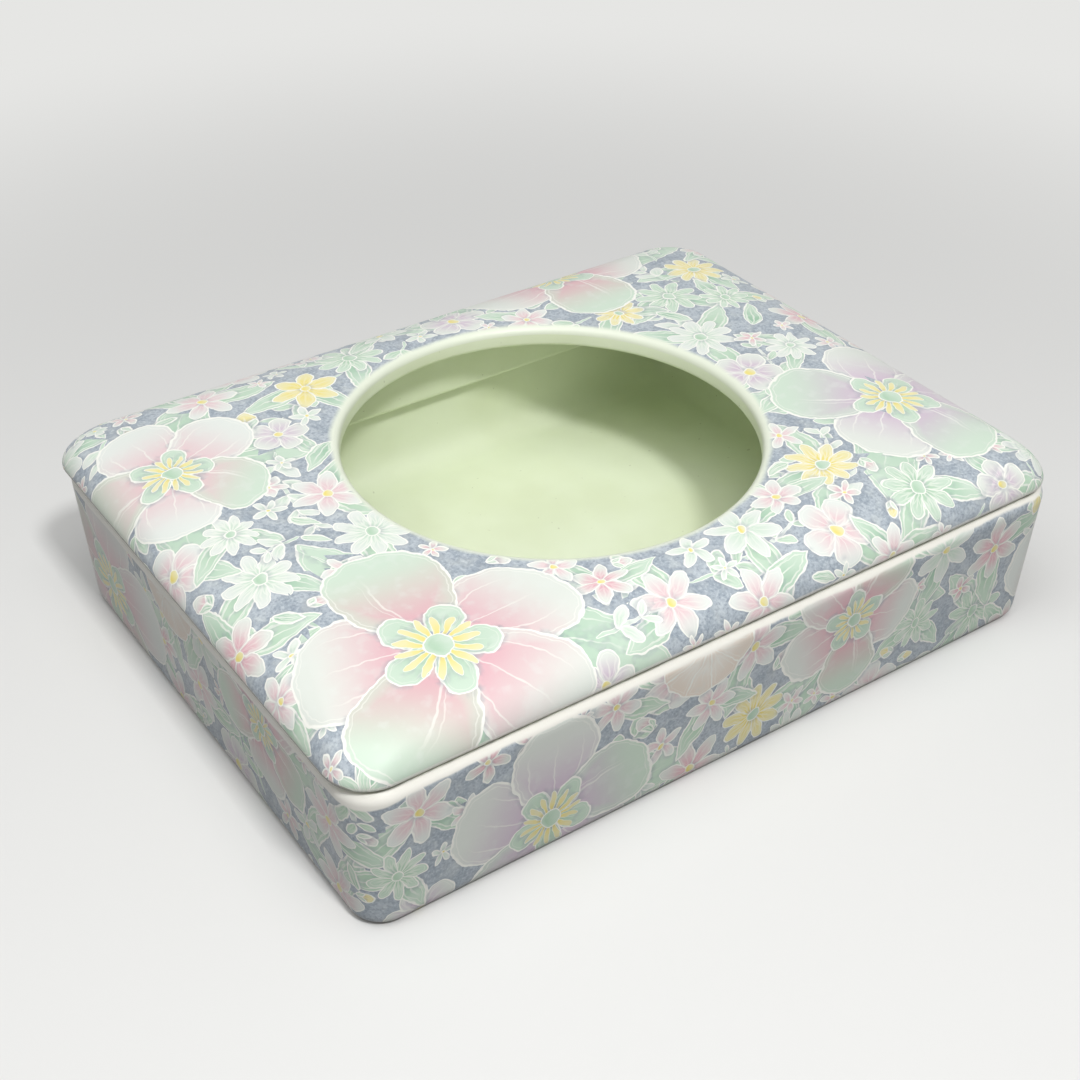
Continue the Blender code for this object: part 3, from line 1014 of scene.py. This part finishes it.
def bare_clay_material():
    """The unglazed ring and recess under the case."""
    material, graph, shader = new_material("bare_clay")
    place = object_place(graph)
    grain = graph.noise(place, 1400, 3.0, 0.6)
    stains = graph.fade(graph.noise(place, 120, 3.0, 0.6), 0.62, 0.74)
    colour = graph.blend(graph.fade(grain, 0.35, 0.65), CLAY, CLAY_PALE)
    colour = graph.blend(graph.times(stains, 0.6), colour, CLAY_STAIN)
    bump = graph.node("ShaderNodeBump", {"Height": grain, "Strength": 0.5, "Distance": 0.0001})
    graph.join(colour, shader.inputs["Base Color"])
    shader.inputs["Roughness"].default_value = 0.85
    graph.join(bump.outputs["Normal"], shader.inputs["Normal"])
    return material


def paint_faces(piece, materials, choose):
    """Gives each face the material that is chosen by the lowest and highest ring of its corners."""
    for material in materials:
        piece.data.materials.append(material)
    ring = read_numbers(piece.data.attributes["ring"].data, "value")
    for face in piece.data.polygons:
        numbers = [ring[index] for index in face.vertices]
        face.material_index = choose(min(numbers), max(numbers))


# The two pieces

def make_base(printed, green, clay):
    """The glazed box in place of the plain one."""
    rings, (first_print, first_inside) = base_rings()
    piece = extruded_shell("glazed_base", rings, False)
    places, around = wall_print_places(rings)
    print_sheet(piece, wall_sheet(around).strokes, places, (first_print, first_inside), around)
    last_print = first_inside - 1

    def choose(lowest, highest):
        if highest <= first_print:
            return 2
        return 0 if lowest < last_print and highest <= last_print + ROUNDING_STEPS else 1

    paint_faces(piece, [printed, green, clay], choose)
    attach(piece, "base")
    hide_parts("base")


def make_lid(printed, green):
    """The glazed lid in place of the plain one."""
    rings, (first_print, last_print) = lid_rings()
    piece = extruded_shell("glazed_lid", rings, True)
    places = lid_print_places(rings, (first_print, last_print))
    print_sheet(piece, lid_sheet().strokes, places, (first_print, last_print))

    def choose(lowest, highest):
        return 0 if highest < last_print else 1

    paint_faces(piece, [printed, green], choose)
    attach(piece, "lid")
    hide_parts("lid")


# Floor, light and camera

def seen_rays(graph):
    """1 for rays that show a background, straight or in a reflection, and 0 for those that carry light."""
    ray = graph.node("ShaderNodeLightPath").outputs
    mirrored = graph.calc("MAXIMUM", ray["Is Glossy Ray"], ray["Is Transmission Ray"])
    return graph.calc("MAXIMUM", ray["Is Camera Ray"], mirrored)


def make_stage():
    """A plain pale floor, which keeps the case's shadow and fades into the background further off."""
    bpy.ops.object.select_all(action="DESELECT")
    bpy.ops.mesh.primitive_plane_add(size=6.0)
    floor = bpy.context.object
    floor.name = "floor"
    material, graph, shader = new_material("pale_floor")
    seen = seen_rays(graph)
    fade_start, fade_end = 0.11, 0.32
    away = graph.vector("LENGTH", object_place(graph))
    far = graph.times(seen, graph.fade(away, fade_start, fade_end))
    near_colour = graph.blend(seen, LIT_FLOOR, FLOOR)
    graph.join(graph.blend(far, near_colour, BLACK), shader.inputs["Base Color"])
    graph.join(graph.blend(far, BLACK, BACKGROUND), shader.inputs["Emission Color"])
    shader.inputs["Emission Strength"].default_value = 1.0
    shader.inputs["Specular IOR Level"].default_value = 0.0
    shader.inputs["Roughness"].default_value = 0.9
    floor.data.materials.append(material)


def area_light(name, place, size, power):
    """A square light that points at the middle of the case."""
    light = bpy.data.lights.new(name, "AREA")
    light.size = size
    light.energy = power
    holder = bpy.data.objects.new(name, light)
    holder.location = place
    aim = Vector((0.0, 0.0, 0.02))
    holder.rotation_euler = (aim - Vector(place)).to_track_quat("-Z", "Y").to_euler()
    bpy.context.scene.collection.objects.link(holder)


def make_lights():
    """A soft box overhead, a smaller one in front, and a dim even surrounding."""
    area_light("overhead_light", place=(-0.14, -0.10, 0.48), size=0.42, power=1.34)
    area_light("front_light", place=(-0.078, -0.431, 0.632), size=0.09, power=2.7)
    world = bpy.data.worlds.new("soft_surrounding")
    world.use_nodes = True
    graph = Graph(world.node_tree)
    surrounding = graph.blend(seen_rays(graph), SURROUNDING, BACKGROUND)
    graph.join(surrounding, world.node_tree.nodes["Background"].inputs["Color"])
    bpy.context.scene.world = world


def make_camera():
    """The photograph's view, with the camera aimed at a point on the floor and rolled a little."""
    place = Vector((-0.14545, -0.20492, 0.19444))
    aim = Vector((0.00846, 0.01669, 0.0))
    roll = math.radians(0.26)
    forward = (aim - place).normalized()
    level_right = forward.cross(Vector((0, 0, 1))).normalized()
    level_up = level_right.cross(forward)
    right = level_right * math.cos(roll) + level_up * math.sin(roll)
    up = level_up * math.cos(roll) - level_right * math.sin(roll)
    camera = bpy.data.cameras.new("camera")
    camera.sensor_width = 36.0
    camera.lens = 57.558
    camera.clip_start = 0.01
    holder = bpy.data.objects.new("camera", camera)
    holder.matrix_world = Matrix.Translation(place) @ Matrix((right, up, -forward)).transposed().to_4x4()
    bpy.context.scene.collection.objects.link(holder)
    bpy.context.scene.camera = holder


def build():
    """Makes the two pieces, and round them the floor, the lights and the camera."""
    stroke = ink_stroke_group()
    ground = speckled_ground_group()
    surface = glaze_surface_group()
    green = green_glaze_material(surface)
    make_base(printed_wall_material(stroke, ground, surface), green, bare_clay_material())
    make_lid(printed_lid_material(stroke, ground, surface), green)
    make_stage()
    make_lights()
    make_camera()
    bpy.context.scene.view_settings.view_transform = "Standard"


build()
